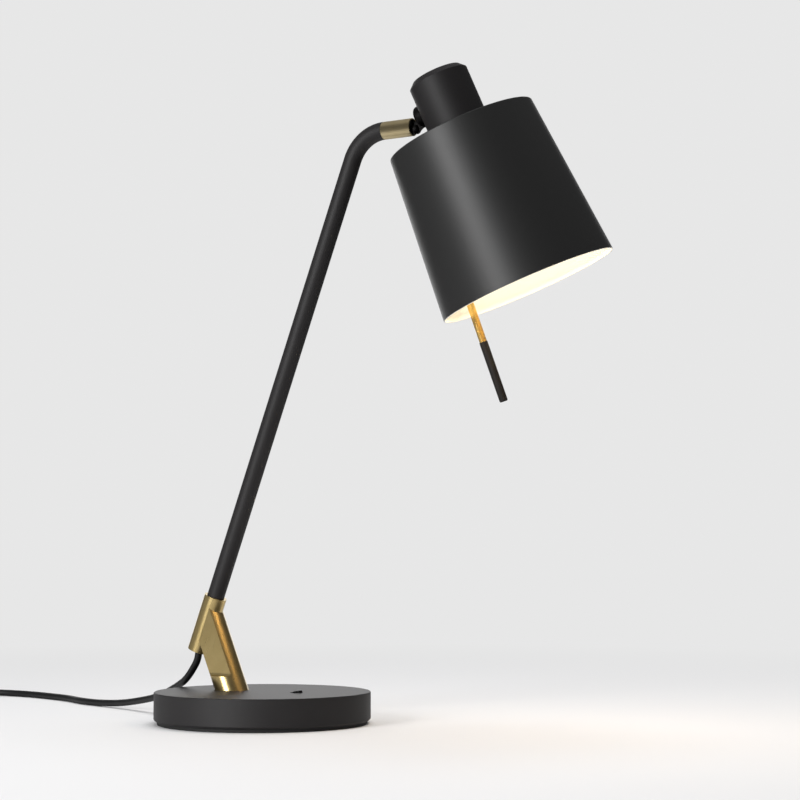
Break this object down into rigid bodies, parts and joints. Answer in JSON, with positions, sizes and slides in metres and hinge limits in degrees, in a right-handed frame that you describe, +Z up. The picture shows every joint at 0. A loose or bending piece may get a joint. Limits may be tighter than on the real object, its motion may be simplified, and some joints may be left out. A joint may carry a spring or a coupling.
{
  "type": "desk lamp",
  "caption": "Desk lamp with a round weighted base, leaning bent arm in a slanted brass bracket, and a swivelling, tilting conical shade with a hanging grip rod.",
  "frame": {"origin": "centre of the round base's underside, on the table", "axes": "+Z up, +X from the base towards the lamp head, the arm leans in the XZ plane"},
  "size_m": [0.7173, 0.1912, 0.4733],
  "materials": {
    "base_paint": "satin charcoal powder coat",
    "arm_paint": "satin charcoal paint",
    "shade_paint": "satin black paint outside, white inside the shade",
    "iron": "raw casting, hidden",
    "pad_rubber": "matt black rubber",
    "brass": "satin brushed brass",
    "steel": "plain zinc steel",
    "black_steel": "blackened steel",
    "black_nylon": "black nylon",
    "cord_cover": "soft black cable cover",
    "black_phenolic": "black phenolic moulding",
    "bulb_metal": "bare metal screw cap",
    "bulb_opal": "opal white glass",
    "grip_wood": "dark stained wood",
    "rocker_black": "gloss black moulding",
    "tie_black": "black strap",
    "plug_black": "black moulded plug",
    "pin_metal": "nickel-plated brass pins"
  },
  "bodies": {
    "stand": {"base_shell": "base_paint", "base_weight": "iron", "foot_pad": "pad_rubber", "bracket": "brass", "foot_nipple": "steel", "foot_washer": "steel", "foot_nut": "steel", "sleeve_screw": "steel", "cord_bush": "black_nylon", "arm_tube": "arm_paint", "arm_lead": "cord_cover", "ferrule": "brass", "switch_body": "black_phenolic", "rocker_pin": "steel", "cord": "cord_cover", "cord_coil": "cord_cover", "cord_tail": "cord_cover", "cord_tie": "tie_black", "plug_body": "plug_black", "plug_pin_near": "pin_metal", "plug_pin_far": "pin_metal"},
    "swivel": {"swivel_knuckle": "black_steel", "swivel_clip": "steel", "tilt_pin": "black_steel"},
    "head": {"hinge_lug": "black_steel", "hinge_eye": "black_steel", "lug_nut": "steel", "cap": "shade_paint", "cap_screw": "black_steel", "lampholder": "black_phenolic", "shade_ring": "black_phenolic", "holder_contact": "brass", "bulb_cap": "bulb_metal", "bulb_glass": "bulb_opal", "shade": "shade_paint", "handle_rod": "brass", "handle_grip": "grip_wood", "upper_spacer": "brass", "upper_spacer_screw": "black_steel", "lower_spacer": "brass", "lower_spacer_screw": "black_steel"},
    "switch_rocker": {"rocker": "rocker_black"}
  },
  "joints": [
    {"name": "head_swivel", "type": "hinge", "parent": "stand", "child": "swivel", "pos_m": [0.12972, 0, 0.43194], "axis": [1, 0, 0], "range_deg": [-102, 77]},
    {"name": "head_tilt", "type": "hinge", "parent": "swivel", "child": "head", "pos_m": [0.13167, 0.00041, 0.43009], "axis": [0, 0.976, 0.2176], "range_deg": [-10, 38]},
    {"name": "rocker_press", "type": "hinge", "parent": "stand", "child": "switch_rocker", "pos_m": [0.03, 0, 0.0207], "axis": [0, 1, 0], "range_deg": [0, 10]}
  ]
}
